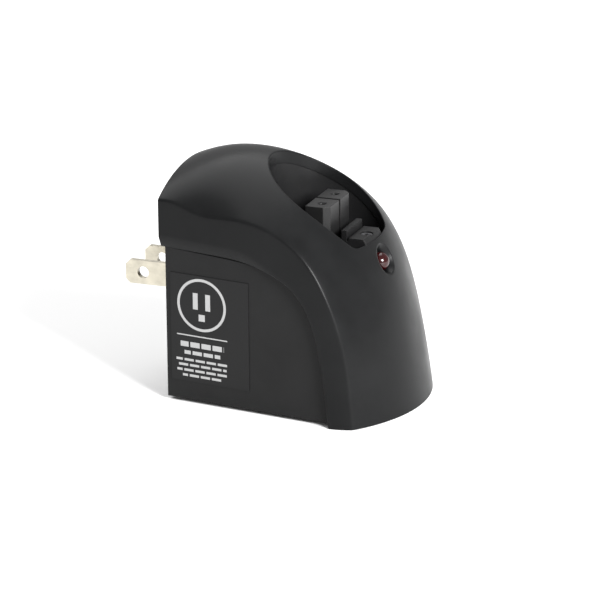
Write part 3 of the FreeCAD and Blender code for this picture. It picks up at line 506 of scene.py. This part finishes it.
def crown(angle, x):
    """Point of the dome: distance from the fan line is reach - radius + sqrt(radius^2 - x^2)."""
    radius = crown_radius(angle)
    far = crown_reach(angle) - radius + np.sqrt(radius ** 2 - x ** 2)
    y = FAN_Y - far * np.sin(np.radians(angle))
    z = FAN_Z + far * np.cos(np.radians(angle))
    return np.stack(np.broadcast_arrays(x, y, z), axis=-1)


def angle_where(x, axis, value, low, high):
    """Fan angle where the dome at side x has this y (axis 1) or height (axis 2), by halving."""
    low, high = low + 0.0 * x, high + 0.0 * x
    for _ in range(36):
        middle = 0.5 * (low + high)
        short_of = crown(middle, x)[..., axis] > value
        low, high = np.where(short_of, middle, low), np.where(short_of, high, middle)
    return 0.5 * (low + high)


HOOD_REAR = PAD_PROUD


def rear_angle_at(x):
    """Fan angle where the dome reaches the rear edge."""
    return angle_where(x, 1, HOOD_REAR, 5.0, 40.0)


def foot_angle_at(x):
    """Fan angle where the dome reaches the table."""
    return angle_where(x, 2, 0.0, 50.0, 85.0)


print("dome point at 24 degrees", crown(np.array(24.0), np.array(0.0)).round(1))

# %% [markdown]
# ## The sides: an upright wall over a flared outline
# Seen from above, the hood widens towards the front and then turns in round a soft corner.
# The crease is where the dome meets that wall, so it is found by going back and forth
# between the two until they agree.

# %% Side wall, crease and step line
REAR_HALF = 21.8
FLARE = 0.118
CORNER_Y = -45.0


def arc_centre(a, b, c):
    """Centre and radius of the circle through three points of a plane."""
    a, b, c = (np.asarray(p, float) for p in (a, b, c))
    sides = 2.0 * np.array([b - a, c - a])
    centre = np.linalg.solve(sides, [b @ b - a @ a, c @ c - a @ a])
    return centre, float(np.linalg.norm(a - centre))


def straight_half(y):
    """Half the width on the straight flare."""
    return REAR_HALF + FLARE * (HOOD_REAR - y)


corner_start = (straight_half(CORNER_Y), CORNER_Y)
corner_centre, corner_radius = arc_centre(corner_start, (27.0, -50.0), (24.6, -56.0))


def half_width(y):
    """Half the width of the hood at y: a straight flare, then an arc round the front corner."""
    across = np.sqrt(np.maximum(corner_radius ** 2 - (y - corner_centre[1]) ** 2, 0.0))
    return np.where(y > CORNER_Y, straight_half(y), corner_centre[0] + across)


def crease_at(angle):
    """Side distance where the dome at this fan angle meets the side wall."""
    x = np.full_like(angle, 25.0)
    for _ in range(40):
        x = half_width(crown(angle, x)[..., 1])
    return x


step_line = np.array([(HOOD_REAR, 41.3), (-12.0, 40.9), (-22.0, 40.3), (-29.0, 39.0), (-35.0, 36.4),
                      (-39.4, 32.2), (-42.3, 26.4), (-44.3, 18.5), (-45.7, 9.5), (-46.8, 0.0)])
step_along = np.concatenate([[0.0], np.cumsum(np.linalg.norm(np.diff(step_line, axis=0), axis=1))])
step_along /= step_along[-1]
step_y = spline_through(step_along, step_line[:, 0])
step_z = spline_through(step_along, step_line[:, 1])

# %% [markdown]
# ## The hood as one grid, with two round holes let in
# Rows run from the rear edge to the front foot; columns go from the lower left edge, up the
# side, round the creased shoulder, over the dome and down again.  A square of cells is left
# out round the well and another round the light, and each gap is filled by rings that
# change from the square to the hole.  All of it lies on the same dome, so no seam shows.

# %% Rows and columns of the hood
ROWS_BEHIND, ROWS_BEFORE = 86, 64
PARTING_ANGLE = 48.45   # one row passes between the well and the light
top_centre = np.zeros(1)
centre_rear = rear_angle_at(top_centre)[0]
centre_foot = foot_angle_at(top_centre)[0]
parting = (PARTING_ANGLE - centre_rear) / (centre_foot - centre_rear)
behind = np.linspace(0.0, parting, ROWS_BEHIND)
before = np.linspace(parting, 1.0, ROWS_BEFORE)
along = np.concatenate([behind, before[1:]])
ROWS = len(along)


def between(a, b, share):
    """a where share is 0, b where it is 1."""
    return a + (b - a) * share


def smooth_step(value, low, high):
    """0 below low, 1 above high, 3 t^2 - 2 t^3 in between."""
    t = np.clip((value - low) / (high - low), 0.0, 1.0)
    return t * t * (3.0 - 2.0 * t)


def bend_through(start, corner, end, steps):
    """Quadratic curve from start to end, pulled towards corner; one column per step."""
    t = np.linspace(0.0, 1.0, steps)[:, None]
    start, corner, end = (p[..., None, :] for p in (start, corner, end))
    return (1 - t) ** 2 * start + 2 * t * (1 - t) * corner + t ** 2 * end


edge_guess = np.full(1, 25.0)
rear_angle = rear_angle_at(edge_guess)[0]
foot_angle = foot_angle_at(edge_guess)[0]
for _ in range(12):
    ends = crease_at(np.array([rear_angle, foot_angle]))
    rear_angle = rear_angle_at(ends[:1])[0]
    foot_angle = foot_angle_at(ends[1:])[0]
crease_angle = between(rear_angle, foot_angle, along)
crease_half = crease_at(crease_angle)
SHOULDER = 0.5      # the crease is rounded over this distance on both sides
COLUMNS = 73
share = np.linspace(-1.0, 1.0, COLUMNS)[None, :] * (1.0 - SHOULDER / crease_half[:, None])
dome_x = share * crease_half[:, None]
rear_of = rear_angle_at(dome_x[0])
foot_of = foot_angle_at(dome_x[-1])
dome_angle = between(rear_of[None, :], foot_of[None, :], along[:, None])
dome = crown(dome_angle, dome_x)
print("crease half width", crease_half[[0, ROWS // 2, -1]].round(2))

# %% [markdown]
# The band along each side ends in a step above the casing.  At the rear its lower edge is a
# broad soft bevel as deep as the step; towards the front it fades to a small break of the
# edge.

# %% The two sides and their shoulders
BAND_STEP = 1.5         # how far the casing side lies inside the band
EDGE_DEPTH = 0.12       # the small break at the front
EDGE_RISE, BEVEL_RISE = 0.35, 2.5
step_point_y, step_point_z = step_y(along), step_z(along)
bevelled = 1.0 - smooth_step(-step_point_y, 20.0, 33.0)
bevel_rise = EDGE_RISE + BEVEL_RISE * bevelled
bevel_depth = EDGE_DEPTH + (BAND_STEP - EDGE_DEPTH) * bevelled


def hood_side(sign):
    """Columns from the lower edge up to the dome, for the left (-1) or right (+1) side."""
    crease = crown(crease_angle, sign * crease_half)
    lower = np.stack([sign * half_width(step_point_y), step_point_y, step_point_z], axis=-1)
    up = crease - lower
    height = np.linalg.norm(up, axis=-1, keepdims=True)
    lip = lower + up / height * bevel_rise[:, None]
    lip[:, 0] = sign * half_width(lip[:, 1])
    lower[:, 0] -= sign * bevel_depth
    near = crease - up / height * SHOULDER
    near[:, 0] = sign * half_width(near[:, 1])
    climb = np.linspace(0.0, 1.0, 12)[None, :, None]
    wall = lip[:, None, :] + (near - lip)[:, None, :] * climb
    wall[..., 0] = sign * half_width(wall[..., 1])
    edge = dome[:, 0 if sign < 0 else -1]
    shoulder = bend_through(near, crease, edge, 6)
    return np.concatenate([lower[:, None, :], wall, shoulder[:, 1:]], axis=1)


left_side, right_side = hood_side(-1), hood_side(1)
print("side columns", left_side.shape[1])

# %% [markdown]
# The rim of the well is not a plain circle: its front is cut off by a flatter arc.  Where
# the two arcs meet the real rim has a small soft corner, so the smaller distance of the two
# is taken with a little rounding.

# %% Outline of the well
WELL_Y = -37.4
WELL_RADIUS = 15.6
WELL_FRONT = -49.7
FRONT_HALF, FRONT_RISE = 11.26, 1.5     # the front arc spans this half width with this rise
CORNER_BLEND = 0.35
front_ends = [(side * FRONT_HALF, WELL_FRONT + FRONT_RISE) for side in (1, -1)]
front_centre, front_radius = arc_centre(front_ends[0], (0.0, WELL_FRONT), front_ends[1])


def well_reach(direction, grow=0.0):
    """Distance from the well axis to its rim: a soft minimum of the circle and the front arc."""
    unit = np.stack([np.cos(direction), np.sin(direction)], axis=-1)
    offset = np.array([0.0, WELL_Y]) - front_centre
    half = unit @ offset
    to_front = -half + np.sqrt(half ** 2 - (offset @ offset - (front_radius + grow) ** 2))
    to_circle = WELL_RADIUS + grow
    gap = (to_front - to_circle) / CORNER_BLEND
    return to_circle - CORNER_BLEND * np.log1p(np.exp(-np.clip(gap, -60.0, 60.0)))


def loop_round(grid, i0, i1, j0, j1):
    """The points round a block of a grid, in order."""
    return np.concatenate([grid[i0, j0:j1], grid[i0:i1, j1], grid[i1, j1:j0:-1], grid[i1:i0:-1, j0]])


def fan_angle(points):
    """Angle about the fan line, from straight up towards the front."""
    return np.degrees(np.arctan2(FAN_Y - points[..., 1], points[..., 2] - FAN_Z))


middle = COLUMNS // 2


def row_near(angle):
    """The row of the grid nearest to a fan angle on the centre line."""
    return int(np.argmin(abs(dome_angle[:, middle] - angle)))


def column_near(x):
    """The column of the grid nearest to a side distance."""
    return int(np.argmin(abs(dome_x[ROWS // 2] - x)))


WELL_BLOCK_TOP, WELL_BLOCK_HALF = 24.4, 18.8    # degrees, mm
LIGHT_BLOCK_FOOT, LIGHT_BLOCK_HALF = 55.6, 6.2
well_rows = [row_near(WELL_BLOCK_TOP), row_near(PARTING_ANGLE)]
well_columns = [column_near(-WELL_BLOCK_HALF), column_near(WELL_BLOCK_HALF)]
light_rows = [row_near(PARTING_ANGLE), row_near(LIGHT_BLOCK_FOOT)]
light_columns = [column_near(-LIGHT_BLOCK_HALF), column_near(LIGHT_BLOCK_HALF)]


def rings_to(rim, block, steps):
    """Rings on the dome from the edge of a block of cells to a rim given as (angle, x)."""
    edge_angle = loop_round(dome_angle, *block)
    edge_x = loop_round(dome_x, *block)
    part = np.linspace(0.0, 1.0, steps)[:, None]
    return crown(between(edge_angle, rim[0], part), between(edge_x, rim[1], part))


well_block = (*well_rows, *well_columns)
well_edge = loop_round(dome, *well_block)
towards = np.arctan2(well_edge[:, 1] - WELL_Y, well_edge[:, 0])
RIM_ROUND = 0.35
WELL_RINGS, LIGHT_RINGS = 14, 8     # rings that lie on the dome
LINING = 0.1        # the collar stands this far inside the cup, over its upper edge
LINED_FROM, HOLE_DEEP = 1.4, 3.4    # depths below the rim


def on_dome_at(direction, grow):
    """(fan angle, x) of the dome above the well outline, grown by a little."""
    reach = well_reach(direction, grow)
    x = reach * np.cos(direction)
    return angle_where(x, 1, WELL_Y + reach * np.sin(direction), 12.0, 70.0), x


outer_rim = on_dome_at(towards, RIM_ROUND)
well_rings = rings_to(outer_rim, well_block, WELL_RINGS)
rim_top = crown(*on_dome_at(towards, 0.0))
rim_under = rim_top - [0.0, 0.0, RIM_ROUND]
rounding = bend_through(crown(*outer_rim), rim_top, rim_under, 5).transpose(1, 0, 2)
inward = 1.0 - LINING / np.hypot(rim_top[:, 0], rim_top[:, 1] - WELL_Y)[:, None]
lined = rim_top.copy()
lined[:, :2] = rim_top[:, :2] * inward + np.array([0.0, WELL_Y]) * (1.0 - inward)
collar = np.stack([lined - [0.0, 0.0, LINED_FROM], lined - [0.0, 0.0, HOLE_DEEP]])
well_rings = np.concatenate([well_rings, rounding[1:], collar])
print("well rings", well_rings.shape)


# %% [markdown]
# The light sits in a countersink whose axis leans with the front of the hood.  Lines along
# that axis are followed to the dome, which gives the rim, and the cone and the bore go
# straight down from there.

# %% Countersink of the light
LIGHT_AT = np.array([0.0, -53.1, 37.9])
LIGHT_AXIS = np.array([0.0, -0.88, 0.475])
LIGHT_AXIS /= np.linalg.norm(LIGHT_AXIS)
light_across = np.array([1.0, 0.0, 0.0])
light_up = np.cross(light_across, LIGHT_AXIS)


def round_light(turn, radius, out):
    """Points on a circle about the light's axis, moved out along it."""
    ring = np.cos(turn)[:, None] * light_across + np.sin(turn)[:, None] * light_up
    return LIGHT_AT + radius * ring + np.reshape(out, (-1, 1)) * LIGHT_AXIS


def height_on_dome(turn, radius):
    """How far out along the axis the dome lies: steps along the axis until it is met."""
    out = np.zeros_like(turn)
    for _ in range(60):
        p = round_light(turn, radius, out)
        on = crown(fan_angle(p), p[:, 0])
        out += (on - p) @ LIGHT_AXIS
    return out


light_block = (*light_rows, *light_columns)
light_edge = loop_round(dome, *light_block) - LIGHT_AT
light_turn = np.arctan2(light_edge @ light_up, light_edge @ light_across)
LIGHT_RIM = 4.2
rim_out = height_on_dome(light_turn, LIGHT_RIM)
light_rim = round_light(light_turn, LIGHT_RIM, rim_out)
light_rings = rings_to((fan_angle(light_rim), light_rim[:, 0]), light_block, LIGHT_RINGS)
SINK = (        # radius and depth below the rim
    (4.08, 0.04), (3.98, 0.16), (3.5, 0.8), (3.12, 1.35), (3.05, 1.6), (3.05, 6.0))
countersink = [round_light(light_turn, radius, rim_out - deep) for radius, deep in SINK]
light_rings = np.concatenate([light_rings, np.stack(countersink)])
print("light rings", light_rings.shape)

# %% [markdown]
# A moulded shell has a wall, and a Solidify modifier would give it one.  Where the dome is
# steep, though, a wall of even thickness behind the upright collar comes out through the
# dome.  So the wall is worked out here: each inner point lies behind its outer point, and
# the wall thins to almost nothing at the two rims.

# %% A wall for the hood
WALL = 1.9
THIN = 0.1
LIGHT_DEEP = 9.0    # the light thins only the wall that lies nearer than this along its axis
THINNING = 0.9      # mm of wall gained per mm away from a rim


def turned_normal(points, quads):
    """Normal of each quad, twice its area long: the cross product of its diagonals."""
    corners = points[quads]
    return np.cross(corners[:, 2] - corners[:, 0], corners[:, 3] - corners[:, 1])


def faces_out(points, quads, inside):
    """True if the quads together face away from a point that lies inside the piece."""
    from_inside = points[quads].mean(axis=1) - inside
    return (from_inside * turned_normal(points, quads)).sum() > 0


def wall_depth(points):
    """Wall in mm: THIN at the rims of well and light, THINNING * distance more, up to WALL."""
    from_well = points[:, :2] - [0.0, WELL_Y]
    outline = well_reach(np.arctan2(from_well[:, 1], from_well[:, 0]))
    past_well = np.hypot(from_well[:, 0], from_well[:, 1]) - outline
    from_light = points - LIGHT_AT
    past_light = np.hypot(from_light @ light_across, from_light @ light_up) - LIGHT_RIM
    past_light = np.where(from_light @ LIGHT_AXIS > -LIGHT_DEEP, past_light, LIGHT_DEEP)
    return THIN + np.clip(THINNING * np.minimum(past_well, past_light), 0.0, WALL - THIN)


def walled(parts):
    """Closed wall: inner = outer - depth * normal, kept above the table and before the rear edge."""
    points, quads = weld(parts)
    count = len(points)
    turned = turned_normal(points, quads)
    normal = np.zeros_like(points)
    for corner in range(4):
        np.add.at(normal, quads[:, corner], turned)
    normal /= np.linalg.norm(normal, axis=1, keepdims=True)
    inner = points - normal * wall_depth(points)[:, None]
    inner[:, 1] = np.minimum(inner[:, 1], HOOD_REAR)
    inner[:, 2] = np.maximum(inner[:, 2], 0.0)
    start, stop = quads.reshape(-1), np.roll(quads, -1, axis=1).reshape(-1)
    real = start != stop
    start, stop = start[real], stop[real]
    open_edge = ~np.isin(start * count + stop, stop * count + start)
    start, stop = start[open_edge], stop[open_edge]
    bridge = np.stack([stop, start, start + count, stop + count], axis=1)
    faces = np.concatenate([quads, quads[:, ::-1] + count, bridge])
    return [(np.concatenate([points, inner]), faces)]


# %% Put the hood together
INSIDE = np.array([0.0, -28.0, 22.0])
skin = np.concatenate([left_side[:, :-1], dome, right_side[:, ::-1][:, 1:]], axis=1)
rows, columns = skin.shape[:2]
kept = np.ones((rows - 1, columns - 1), bool)
first = left_side.shape[1] - 1
for i0, i1, j0, j1 in (well_block, light_block):
    kept[i0:i1, first + j0:first + j1] = False
skin_points = skin.reshape(-1, 3)
skin_quads = grid_quads(rows, columns)[kept.reshape(-1)]
if not faces_out(skin_points, skin_quads, INSIDE):
    skin_quads = skin_quads[:, ::-1]
hood_parts = [(skin_points, skin_quads)]
for rings, on_dome in ((well_rings, WELL_RINGS), (light_rings, LIGHT_RINGS)):
    ring_points = rings.reshape(-1, 3)
    ring_quads = grid_quads(len(rings), rings.shape[1], ring=True)
    dome_quads = ring_quads[:(on_dome - 1) * rings.shape[1]]
    if not faces_out(ring_points, dome_quads, INSIDE):
        ring_quads = ring_quads[:, ::-1]
    hood_parts.append((ring_points, ring_quads))
hood = mesh_piece("hood", walled(hood_parts), finish["black_hood"])
stand_for(hood, "black_hood", "hood_shell")
